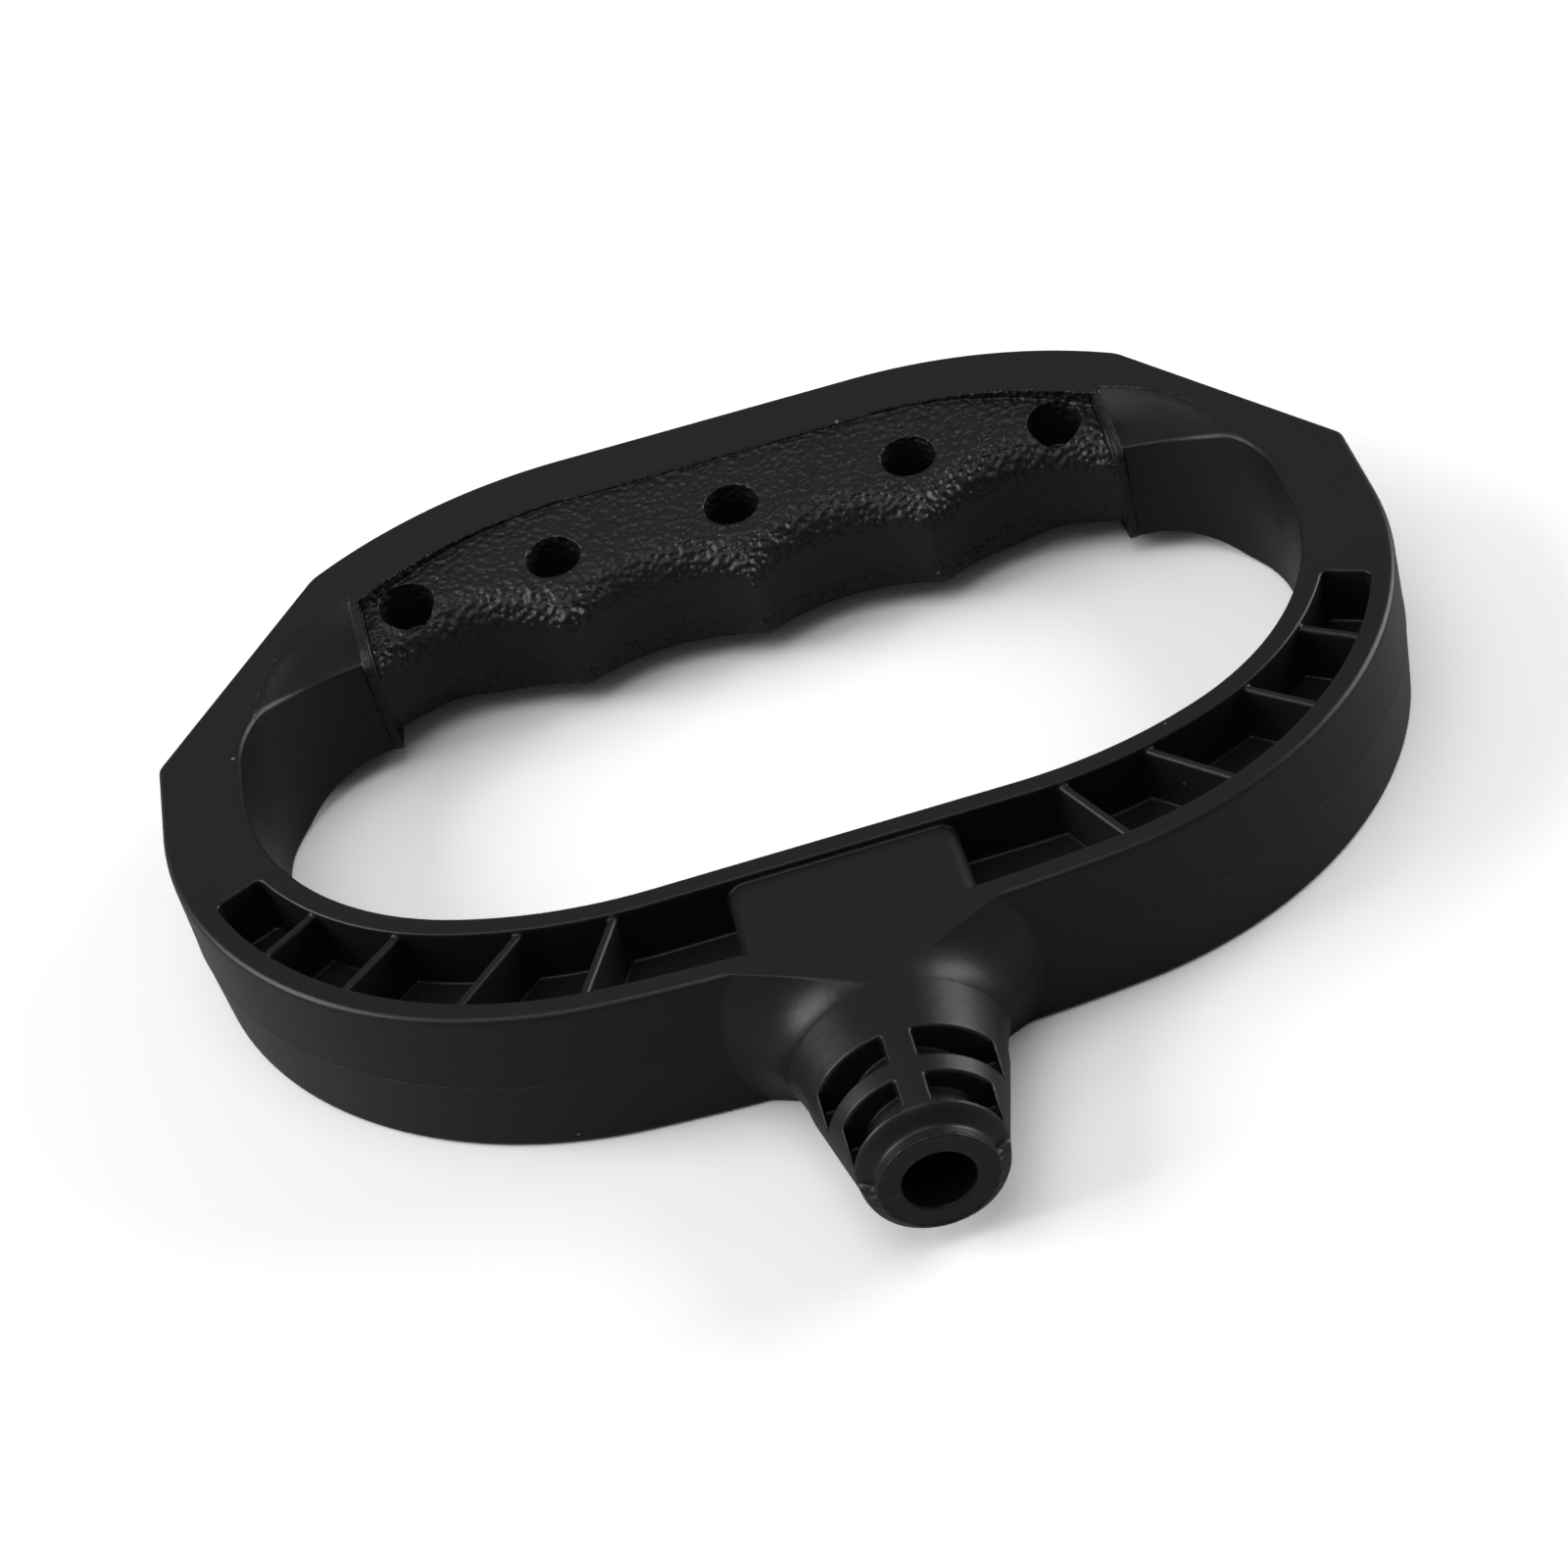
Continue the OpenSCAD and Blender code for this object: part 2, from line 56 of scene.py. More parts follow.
def arc_distance(x, y, c, r, a0, a1):
    """Signed distance to an arc, and whether the point lies in its sector."""
    dx, dy = x - c[0], y - c[1]
    ang = np.degrees(np.arctan2(dy, dx))
    mid = (a0 + a1) / 2
    off = np.abs((ang - mid + 180) % 360 - 180)
    return np.hypot(dx, dy) - r, off <= (a1 - a0) / 2 + 0.02


def line_distance(x, y, p, n, q):
    """Signed distance to a line through p with outward normal n, valid between p and q."""
    d = (x - p[0]) * n[0] + (y - p[1]) * n[1]
    t = np.array([q[0] - p[0], q[1] - p[1]])
    long = math.hypot(*t)
    s = ((x - p[0]) * t[0] + (y - p[1]) * t[1]) / long
    return d, (s >= -0.02) & (s <= long + 0.02)


def nearest(parts):
    best = None
    for d, valid in parts:
        d = np.where(valid, d, 1e3)
        best = d if best is None else np.where(np.abs(d) < np.abs(best), d, best)
    return best


class Outline:
    """The outer outline and the hand opening, with the values of the CAD part."""

    def __init__(self):
        front_r, shoulder_r, back_r = 280.0, 51.5, 57.0
        side_r, rear_r = 2.0, 5.0
        self.front_c = (0.0, -65.6 + front_r)
        sx = HALF_W - shoulder_r
        fa = math.degrees(math.asin(sx / (front_r - shoulder_r)))
        self.shoulder_c = (sx, self.front_c[1] - (front_r - shoulder_r) * cos(fa))
        self.fa = fa
        n = (sin(55.6), cos(55.6))
        self.n = n
        k = HALF_W * n[0]
        side_x = HALF_W - side_r
        self.side_c = (side_x, (k - side_r - side_x * n[0]) / n[1])
        self.back_c = (20.0, 42.1 - back_r)
        rk = k - rear_r - (self.back_c[0] * n[0] + self.back_c[1] * n[1])
        rs = math.sqrt((back_r - rear_r) ** 2 - rk * rk)
        self.rear_c = (self.back_c[0] + rk * n[0] - rs * n[1], self.back_c[1] + rk * n[1] + rs * n[0])
        self.rear_a = math.degrees(math.atan2(self.rear_c[1] - self.back_c[1], self.rear_c[0] - self.back_c[0]))
        self.r = (front_r, shoulder_r, side_r, rear_r, back_r)

    def outer(self, x, y):
        front_r, shoulder_r, side_r, rear_r, back_r = self.r
        n = self.n
        ca = 34.4
        sc, rc = self.side_c, self.rear_c
        return nearest(
            [
                arc_distance(x, y, self.front_c, front_r, -90 - self.fa, -90 + self.fa),
                arc_distance(x, y, self.shoulder_c, shoulder_r, -90 + self.fa, 0),
                line_distance(x, y, (HALF_W, self.shoulder_c[1]), (1, 0), (HALF_W, sc[1])),
                arc_distance(x, y, sc, side_r, 0, ca),
                line_distance(
                    x,
                    y,
                    (sc[0] + side_r * n[0], sc[1] + side_r * n[1]),
                    n,
                    (rc[0] + rear_r * n[0], rc[1] + rear_r * n[1]),
                ),
                arc_distance(x, y, rc, rear_r, ca, self.rear_a),
                arc_distance(x, y, self.back_c, back_r, self.rear_a, 90),
                line_distance(x, y, (20.0, 42.1), (0, 1), (-1.0, 42.1)),
            ]
        )

    def opening(self, x, y):
        """Negative inside the smooth part of the hand opening."""
        c1 = (21.0, -47.2 + 56)
        c2 = (c1[0] + 19.8 * sin(24), c1[1] - 19.8 * cos(24))
        c3 = (c2[0] + 36.2 - 17.5, -4.0)
        near = nearest(
            [
                line_distance(x, y, (-1.0, -47.2), (0, -1), (21.0, -47.2)),
                arc_distance(x, y, c1, 56.0, -90, -66),
                arc_distance(x, y, c2, 36.2, -66, 0),
                line_distance(x, y, (c2[0] + 36.2, c2[1]), (1, 0), (c2[0] + 36.2, -4.0)),
                arc_distance(x, y, c3, 17.5, 0, 90),
                line_distance(x, y, (c3[0], 13.5), (0, 1), (-1.0, 13.5)),
            ]
        )
        return near


# ---------------------------------------------------------------- rounded joins


def both(a, b, r):
    """Intersection of two solids whose edge is rounded to radius r."""
    u = np.maximum(a + r, 0)
    v = np.maximum(b + r, 0)
    return np.minimum(np.maximum(a, b), -r) + np.hypot(u, v)


def either(a, b, r):
    """Union of two solids with a fillet of radius r."""
    return -both(-a, -b, r)


def without(a, b, r):
    """The first solid less the second, with the new edge rounded."""
    return both(a, -b, r)


# ---------------------------------------------------------------- the handle


class Handle:
    """The moulding. Its upper half has a neck on the nose and a wide rounding on the grip."""

    def __init__(self, upper=True):
        self.plan = Outline()
        self.neck = 1.0 if upper else 0.0
        self.grip_low = 0.0 if upper else 2.4

    def plan_fields(self, x, y):
        """Everything that depends on the plan position alone."""
        o = self.plan
        return {"out": o.outer(x, y), "open": o.opening(x, y)}

    def field(self, x, y, w, plan=None):
        """Signed distance in millimetres, negative inside. x and w are not negative."""
        if plan is None:
            plan = self.plan_fields(x, y)
        out, opening = plan["out"], plan["open"]
        lean = DRAFT * (1 - w / MID)
        face = w - MID
        wall_out = out - lean
        wall_in = -(opening + lean)
        # the rim between the outer wall and the smooth opening
        ring = both(both(wall_out, wall_in, 0.05), face, 0.8)
        # the grip lies between the end ribs and takes the place of the smooth opening there
        f = self.with_grip(ring, wall_out, face, x, y, w)
        f = self.relief(f, x, y, w)
        f = self.end_rib(f, x, y, w)
        f = self.channel(f, out, opening, x, y, w)
        f = self.nozzle(f, x, y, w)
        # the mould parting line, a fine ridge half way up every outside wall
        f = f - 0.05 * np.maximum(0, 1 - w / 0.2)
        return self.rope_way(f, x, y, w)

    def with_grip(self, ring, wall_out, face, x, y, w):
        # panel: a shallow step down from the rim, then a slope towards the fingers
        y0 = 42.1 - 9.6
        slope = 9.0
        floor = MID - 0.5 - math.tan(math.radians(slope)) * (y0 - y)
        r_in = 57.0 - 9.6
        zone = np.where(x > 20, np.hypot(x - 20, y + 14.9) - r_in, y - y0)
        above = (floor - w) * cos(slope)
        panel = both(zone, above, 0.12)
        body = without(both(wall_out, face, 0.8), panel, 0.12)
        # finger grooves, each with its rounded edge
        top = (w - floor) * cos(slope)
        a = 18.6 - np.hypot(x - 12.15, y + 1.3)
        b = 18.6 - np.hypot(x - 36.75, y + 0.4)
        # below, the rounding is smaller, except where the outer hole comes close to the edge
        rounding = 4.4 - self.grip_low * np.clip((40.0 - x) / 5.0, 0, 1)
        grip = both(both(a, b, 1.5), top, rounding)
        only = y < 22.6
        grip = np.where(only, np.maximum(body, grip), body)
        for hx, hy in ((0.0, 23.8), (23.6, 23.4), (43.0, 22.4)):
            hole = both(np.hypot(x - hx, y - hy) - 3.55, 1.6 - w, 0.4)
            grip = without(grip, hole, 0.15)
        inside = (x < 49.2) & (y > -5)
        return np.where(inside, grip, ring)

    def relief(self, f, x, y, w):
        rho = np.hypot(x - 41, y - 4)
        u = np.clip((21.8 - rho) / 7.8, 0, 1)
        low = MID - 2.9 * (1 - (1 - u) ** 2)
        cut = np.maximum(np.maximum((low - w) * 0.9, rho - 21.8), np.maximum(49.2 - x, -1.0 - y))
        return without(f, cut, 0.5)

    def end_rib(self, f, x, y, w):
        side = np.abs(x - 49.2) - 0.5
        wall = 12.44 - y
        top = w - MID + 0.02
        line1 = ((w - MID) * 10.26 - (y - 24.5) * 2.2) / math.hypot(10.26, 2.2)
        line2 = (-(y - 14.24) * 1.6 + (w - 7.8) * 1.8) / math.hypot(1.6, 1.8)
        rib = both(np.maximum(np.maximum(line1, top), y - 26.0), both(wall, line2, 0.6), 0.5)
        rib = both(rib, side, 0.15)
        return either(f, rib, 0.1)

    def channel(self, f, out, opening, x, y, w):
        """The channel in the front band, with the rope block and the cross ribs left in it."""
        zone = both(out + 2.9, 2.9 - opening, 0.9)
        nx, ny = -sin(-28), cos(-28)
        end = (x - 67) * nx + (y + 27.6) * ny
        zone = both(zone, end, 0.9)
        front = np.maximum(zone, y + 20)
        cut = both(front, 2.5 - w, 0.4)
        # the block face rises from below the inner rim to just below the front rim
        rise = np.clip((-50.1 - y) / 12.6, 0, 1)
        block = both(x - 13.3, w - 9.1 - 0.8 * rise, 2.2)
        solid = block
        for rx, ry, deg in ((62.2, -37.1, -38), (53.7, -46, -44), (40.9, -52.8, -48), (28.8, -56.1, -66)):
            across = np.abs(-(x - rx) * sin(deg) + (y - ry) * cos(deg)) - 0.55
            near = np.hypot(x - rx, y - ry) - 9
            rib = both(across, w - 9.5, 0.5)
            solid = np.minimum(solid, np.maximum(rib, near))
        cut = without(cut, solid, 0.35)
        f = without(f, cut, 0.3)
        # in front of the block the front rim is as low as the block
        fade = np.clip((13.9 - x) / 1.2, 0, 1)
        return both(f, np.where(y < -62.7, w - MID + 0.1 * fade, -1e3), 0.05)

    def nozzle(self, f, x, y, w):
        s = -y
        rho = np.hypot(x, w)
        u = np.clip((s - 65.6) / 7.9, -0.5, 1)
        flare = 12.8 + 4.7 * (1 - u) ** 2
        t = np.clip((s - 73.5) / 17.5, 0, 1)
        # the cone widens smoothly towards the crease where it meets the flare
        cone = 8.2 + 0.245 * np.clip(91 - s, 0, 11) + 0.12 * np.maximum(80 - s, 0)
        cone = cone + 0.068 * np.maximum(77.5 - s, 0) ** 2
        v = np.clip((s - 91) / 2.8, 0, 1)
        nose = 2.0 * (1 - np.sqrt(np.maximum(1 - v * v, 0)))
        q = np.clip((s - 90.6) / 1.9, 0, 1)
        neck = 1.75 * q * q * (3 - 2 * q)
        up = self.neck * np.clip(w / 0.35, 0, 1)
        nose = nose + (neck - nose) * up
        radius = np.where(s < 73.5, flare, cone - nose)
        lean = np.where(s < 73.5, 0.8, 0.93)
        side = (rho - radius) * lean
        off = 3.2 * (1 - t)
        flat_r = np.where(s < 73.5, 13.0 + 6.0 * (1 - u) ** 2, 13.0 - 4.8 * t) 
        flat = (np.hypot(x, w + off) - flat_r) * lean
        body = both(side, np.where(s < 90.4, flat, -1e3), 0.15)
        body = both(body, np.maximum(w - 9.9, 63 - s), 0.12)
        body = both(body, s - 93.8, 0.15)
        # moulding flash round the flat end
        turn = np.arctan2(w, x)
        bead = 0.2 + 0.05 * np.sin(5 * turn + 1) + 0.04 * np.sin(13 * turn) + 0.03 * np.sin(23 * turn + 2)
        body = either(body, np.hypot(rho - 6.4, s - 93.7) - bead, 0.1)
        for y0, length in ((80.0, 3.8), (86.3, 3.9)):
            row = np.abs(s - y0 - length / 2) - length / 2
            hollow = both(row, 6.2 - rho, 0.3)
            wall = 8.2 + 0.245 * (91 - y0 - length / 2) - 0.9
            hollow = both(hollow, np.maximum(np.maximum(1.6 - x, x - wall), 0.6 - w), 0.3)
            body = without(body, hollow, 0.3)
        return either(f, body, 0.15)

    def rope_way(self, f, x, y, w):
        rho = np.hypot(x, w)
        s = -y
        bore = both(rho - 4.0, 44 - s, 0.1)
        knot = both(rho - 7.0, s - 58.2, 0.8)
        knot = np.maximum(knot, 40 - s)
        f = without(f, np.where(s > 40, bore, 1e3), 0.3)
        return without(f, knot, 0.5)


def gradient(shape, p, e=0.01):
    """Gradient of the field at points of the quarter with x and w at or above zero."""
    x, y, w = p.T
    gx = shape.field(x + e, y, w) - shape.field(np.abs(x - e), y, w)
    gy = shape.field(x, y + e, w) - shape.field(x, y - e, w)
    gw = shape.field(x, y, w + e) - shape.field(x, y, w)
    return np.stack([gx / (2 * e), gy / (2 * e), gw / e], axis=1)


def net(values, origin, h):
    """Surface net of a sampled field: one vertex for each mixed cell and one quad for each crossing."""
    nx, ny, nz = values.shape
    inside = values < 0
    corner = [(i, j, k) for i in (0, 1) for j in (0, 1) for k in (0, 1)]
    cells = (nx - 1, ny - 1, nz - 1)

    def at(a, c):
        i, j, k = c
        return a[i : i + cells[0], j : j + cells[1], k : k + cells[2]]

    count = sum(at(inside, c).astype(np.int8) for c in corner)
    mixed = (count > 0) & (count < 8)
    index = -np.ones(cells, np.int64)
    cell = np.argwhere(mixed)
    index[mixed] = np.arange(len(cell))
    total = np.zeros((len(cell), 3))
    hits = np.zeros(len(cell))
    ci, cj, ck = cell.T
    for a in corner:
        for axis in range(3):
            if a[axis]:
                continue
            b = list(a)
            b[axis] = 1
            va = values[ci + a[0], cj + a[1], ck + a[2]]
            vb = values[ci + b[0], cj + b[1], ck + b[2]]
            cross = (va < 0) != (vb < 0)
            t = np.where(cross, va / np.where(cross, va - vb, 1), 0)
            point = np.tile(np.array(a, float), (len(cell), 1))
            point[:, axis] = t
            total[cross] += point[cross]
            hits[cross] += 1
    verts = origin + h * (cell + total / hits[:, None])
    quads = []
    for axis in range(3):
        u, v = (axis + 1) % 3, (axis + 2) % 3
        lo = [slice(None)] * 3
        hi = [slice(None)] * 3
        lo[axis], hi[axis] = slice(0, -1), slice(1, None)
        flip = inside[tuple(lo)] != inside[tuple(hi)]
        e = np.argwhere(flip)
        keep = (e[:, u] > 0) & (e[:, v] > 0) & (e[:, u] < cells[u]) & (e[:, v] < cells[v])
        e = e[keep]
        du, dv = np.eye(3, dtype=int)[u], np.eye(3, dtype=int)[v]
        ring = [e, e - du, e - du - dv, e - dv]
        q = np.stack([index[tuple(r.T)] for r in ring], axis=1)
        out = inside[tuple(e.T)]
        q[~out] = q[~out][:, ::-1]
        quads.append(q)
    return verts, np.concatenate(quads)


def to_mesh(name, verts, faces):
    mesh = bpy.data.meshes.new(name)
    verts = np.asarray(verts, np.float32)
    faces = np.asarray(faces, np.int32)
    n, k = faces.shape
    mesh.vertices.add(len(verts))
    mesh.vertices.foreach_set("co", verts.ravel())
    mesh.loops.add(n * k)
    mesh.loops.foreach_set("vertex_index", faces.ravel())
    mesh.polygons.add(n)
    mesh.polygons.foreach_set("loop_start", np.arange(0, n * k, k, dtype=np.int32))
    mesh.update(calc_edges=True)
    return mesh


def read_mesh(mesh):
    v = np.empty(len(mesh.vertices) * 3, np.float32)
    mesh.vertices.foreach_get("co", v)
    mesh.calc_loop_triangles()
    t = np.empty(len(mesh.loop_triangles) * 3, np.int32)
    mesh.loop_triangles.foreach_get("vertices", t)
    return v.reshape(-1, 3).astype(float), t.reshape(-1, 3)


def settle(shape, p, rounds=3):
    """Moves points onto the surface. Points on the two symmetry planes stay on them."""
    on_x, on_w = p[:, 0] < 1e-6, p[:, 2] < 1e-6
    for _ in range(rounds):
        g = gradient(shape, p)
        g[on_x, 0] = 0
        g[on_w, 2] = 0
        d = shape.field(*p.T)
        step = d[:, None] * g / np.maximum((g * g).sum(1), 0.2)[:, None]
        long = np.linalg.norm(step, axis=1, keepdims=True)
        p = p - step * np.minimum(1, 0.15 / np.maximum(long, 1e-9))
    return p


def quarter(shape, h, triangles):
    """Vertices and triangles of the quarter with x and w at or above zero, in millimetres."""
    lo = np.array([-h / 2, -94.5, -h / 2])
    hi = np.array([76.0, 43.0, 10.6])
    xs, ys, ws = (np.arange(a, b + h, h) for a, b in zip(lo, hi))
    gx, gy = np.meshgrid(np.abs(xs), ys, indexing="ij")
    plan = shape.plan_fields(gx, gy)
    values = np.empty((len(xs), len(ys), len(ws)), np.float32)
    for k, w in enumerate(ws):
        values[:, :, k] = shape.field(gx, gy, np.full_like(gx, abs(w)), plan)
    verts, quads = net(values, lo, h)
    verts = np.maximum(verts, [0, -1e9, 0])
    verts[verts[:, 0] < h / 4, 0] *= verts[verts[:, 0] < h / 4, 0] > h / 4
    mesh = to_mesh("net", verts, quads)
    found = bpy.data.objects.new("net", mesh)
    bpy.context.scene.collection.objects.link(found)
    thin = found.modifiers.new("thin", "DECIMATE")
    thin.ratio = min(1.0, triangles / (2 * len(quads)))
    thin.use_collapse_triangulate = True
    bpy.context.view_layer.update()
    dg = bpy.context.evaluated_depsgraph_get()
    p, t = read_mesh(found.evaluated_get(dg).to_mesh())
    found.evaluated_get(dg).to_mesh_clear()
    bpy.data.objects.remove(found)
    bpy.data.meshes.remove(mesh)
    edge = np.sort(np.concatenate([t[:, [0, 1]], t[:, [1, 2]], t[:, [2, 0]]]), axis=1)
    pairs, uses = np.unique(edge, axis=0, return_counts=True)
    rim = np.zeros(len(p), bool)
    rim[pairs[uses == 1].ravel()] = True
    flat_x = rim & (p[:, 0] < 0.6) & (p[:, 0] <= p[:, 2])
    flat_w = rim & (p[:, 2] < 0.6) & ~flat_x
    both_axes = rim & (p[:, 0] < 0.3 * h) & (p[:, 2] < 0.3 * h)
    p[flat_x | both_axes, 0] = 0
    p[flat_w | both_axes, 2] = 0
    p = settle(shape, p)
    p[:, [0, 2]] = np.maximum(p[:, [0, 2]], 0)
    return p, t


def whole(shape, h, triangles):
    """The quarter and its three mirror images, welded, with the normal of each corner."""
    upper, t = quarter(shape, h, triangles)
    plain = Handle(upper=False)
    lower = upper.copy()
    nose = upper[:, 1] < -89
    grip = (upper[:, 0] < 49) & (upper[:, 1] > -12) & (upper[:, 1] < 30)
    other = (nose | grip) & (upper[:, 2] > 1e-6)
    lower[other] = settle(plain, upper[other], 16)
    points, faces, normals = [], [], []
    for sw, p, form in ((1, upper, shape), (-1, lower, plain)):
        n = gradient(form, p)
        n[p[:, 0] < 1e-6, 0] *= np.abs(n[p[:, 0] < 1e-6, 0]) > 0.2
        n /= np.maximum(np.linalg.norm(n, axis=1, keepdims=True), 1e-9)
        for sx in (1, -1):
            s = np.array([sx, 1, sw])
            f = t if sx * sw > 0 else t[:, ::-1]
            faces.append(f + len(p) * len(points))
            points.append(p * s)
            normals.append((n * s)[f])
    points = np.concatenate(points)
    faces = np.concatenate(faces)
    normals = np.concatenate(normals)
    key = np.round(points / 1e-4).astype(np.int64)
    _, first, back = np.unique(key, axis=0, return_index=True, return_inverse=True)
    faces = back.ravel()[faces]
    points = points[first]
    real = (faces[:, 0] != faces[:, 1]) & (faces[:, 1] != faces[:, 2]) & (faces[:, 0] != faces[:, 2])
    points = (points + [0, MIDDLE_Y, MID]) * MM
    return points, faces[real], normals[real]


# ---------------------------------------------------------------- materials


def socket(node, name, value):
    node.inputs[name].default_value = value
    return node


def math_node(tree, operation, *values):
    """A maths node; each value is a number or the socket that feeds it."""
    node = tree.nodes.new("ShaderNodeMath")
    node.operation = operation
    for i, value in enumerate(values):
        if isinstance(value, (int, float)):
            node.inputs[i].default_value = value
        else:
            tree.links.new(value, node.inputs[i])
    return node.outputs["Value"]


def plastic(settings):
    mat = bpy.data.materials.new("handle_plastic")
    mat.use_nodes = True
    tree = mat.node_tree
    tree.nodes.clear()
    add = tree.nodes.new
    out = add("ShaderNodeOutputMaterial")
    bsdf = socket(add("ShaderNodeBsdfPrincipled"), "Specular IOR Level", settings.specular)
    tree.links.new(bsdf.outputs["BSDF"], out.inputs["Surface"])
    place = add("ShaderNodeTexCoord").outputs["Object"]

    # broad mottling of the shine
    mottling = socket(add("ShaderNodeTexNoise"), "Scale", 55.0)
    socket(mottling, "Detail", 5.0)
    tree.links.new(place, mottling.inputs["Vector"])
    tone = add("ShaderNodeMapRange")
    tone.inputs["From Min"].default_value = 0.3
    tone.inputs["From Max"].default_value = 0.7
    tone.inputs["To Min"].default_value = settings.roughness - 0.04
    tone.inputs["To Max"].default_value = settings.roughness + 0.05
    tree.links.new(mottling.outputs["Fac"], tone.inputs["Value"])
    tree.links.new(tone.outputs["Result"], bsdf.inputs["Roughness"])

    # dust: a few small pale dots, at random in about a third of the cells
    dots = socket(add("ShaderNodeTexVoronoi"), "Scale", settings.dust_scale)
    tree.links.new(place, dots.inputs["Vector"])
    chance = add("ShaderNodeSeparateColor")
    tree.links.new(dots.outputs["Color"], chance.inputs["Color"])
    size = math_node(tree, "MULTIPLY", chance.outputs["Green"], 0.05)
    near = math_node(tree, "LESS_THAN", dots.outputs["Distance"], size)
    some = math_node(tree, "GREATER_THAN", chance.outputs["Red"], 0.66)
    dust = math_node(tree, "MULTIPLY", near, some)
    colour = add("ShaderNodeMix")
    colour.data_type = "RGBA"
    base = tuple(settings.colour)
    colour.inputs["A"].default_value = (*base, 1)
    colour.inputs["B"].default_value = (*settings.dust_colour, 1)
    tree.links.new(dust, colour.inputs["Factor"])
    tree.links.new(colour.outputs["Result"], bsdf.inputs["Base Color"])

    # leather grain on the panel, and a faint moulded texture everywhere
    grain = socket(add("ShaderNodeTexVoronoi"), "Scale", settings.grain_scale)
    grain.feature = "SMOOTH_F1"
    tree.links.new(place, grain.inputs["Vector"])
    mask = add("ShaderNodeAttribute")
    mask.attribute_name = "grain"
    pebbles = math_node(tree, "MULTIPLY", grain.outputs["Distance"], mask.outputs["Fac"])
    fine = socket(add("ShaderNodeTexNoise"), "Scale", 900.0)
    tree.links.new(place, fine.inputs["Vector"])
    height = math_node(tree, "MULTIPLY_ADD", fine.outputs["Fac"], 0.05, pebbles)
    bump = socket(add("ShaderNodeBump"), "Strength", settings.grain_strength)
    socket(bump, "Distance", 0.0006)
    tree.links.new(height, bump.inputs["Height"])
    tree.links.new(bump.outputs["Normal"], bsdf.inputs["Normal"])
    return mat


def floor_material(settings):
    """Pale to the camera, and darker to the plastic, which stands for a dim room around it."""
    mat = bpy.data.materials.new("studio_floor")
    mat.use_nodes = True
    tree = mat.node_tree
    tree.nodes.clear()
    out = tree.nodes.new("ShaderNodeOutputMaterial")
    bsdf = tree.nodes.new("ShaderNodeBsdfDiffuse")
    path = tree.nodes.new("ShaderNodeLightPath")
    colour = tree.nodes.new("ShaderNodeMix")
    colour.data_type = "RGBA"
    colour.inputs["A"].default_value = (*settings.bounce_colour, 1)
    colour.inputs["B"].default_value = (*settings.floor_colour, 1)
    tree.links.new(path.outputs["Is Camera Ray"], colour.inputs["Factor"])
    tree.links.new(colour.outputs["Result"], bsdf.inputs["Color"])
    tree.links.new(bsdf.outputs["BSDF"], out.inputs["Surface"])
    return mat


def studio_world(settings):
    """White to the camera, a soft grey room to everything else."""
    world = bpy.data.worlds.new("studio")
    world.use_nodes = True
    tree = world.node_tree
    back = tree.nodes["Background"]
    path = tree.nodes.new("ShaderNodeLightPath")
    seen = math_node(tree, "MULTIPLY", path.outputs["Is Camera Ray"], 1.0 - settings.fill)
    tree.links.new(math_node(tree, "ADD", seen, settings.fill), back.inputs["Strength"])
    back.inputs["Color"].default_value = (1, 1, 1, 1)
    return world


# ---------------------------------------------------------------- settings


class HandleSettings(bpy.types.PropertyGroup):
    """Sizes and finish of the handle"""

    cell: FloatProperty(name="Cell", description="Size of the sampling cells", default=0.25, unit="NONE")
    triangles: IntProperty(name="Triangles", description="Triangles of the whole handle", default=190000)
    roughness: FloatProperty(name="Roughness", description="Roughness of the plastic", default=0.36)
    specular: FloatProperty(name="Specular", description="Specular level of the plastic", default=0.38)
    colour: FloatVectorProperty(
        name="Colour", description="Colour of the plastic", default=(0.0115, 0.0115, 0.013), subtype="COLOR"
    )
    dust_colour: FloatVectorProperty(
        name="Dust", description="Colour of the dust dots", default=(0.16, 0.16, 0.17), subtype="COLOR"
    )
    dust_scale: FloatProperty(name="Dust cells", description="Cells of the dust dots per metre", default=170.0)
    grain_scale: FloatProperty(name="Grain", description="Cells of the leather grain per metre", default=1200.0)
    grain_strength: FloatProperty(name="Grain strength", description="Strength of the grain", default=0.9)


class StudioSettings(bpy.types.PropertyGroup):
    """Camera, light and floor"""

    floor_colour: FloatVectorProperty(
        name="Floor", description="Colour of the floor to the camera", default=(1.45, 1.45, 1.45), subtype="COLOR",
        max=2.0,
    )
    bounce_colour: FloatVectorProperty(
        name="Bounce", description="Colour of the floor to the plastic", default=(0.42, 0.42, 0.43), subtype="COLOR"
    )
    key: FloatProperty(name="Key", description="Power of the soft overhead light", default=2.2, subtype="POWER")
    behind: FloatProperty(name="Behind", description="Power of the soft light behind", default=0.12, subtype="POWER")
    left: FloatProperty(name="Left", description="Power of the soft light at the left", default=5.0, subtype="POWER")
    right: FloatProperty(name="Right", description="Power of the soft light at the right", default=5.0, subtype="POWER")
    fill: FloatProperty(name="World", description="Strength of the surroundings", default=0.14)


# ---------------------------------------------------------------- operators


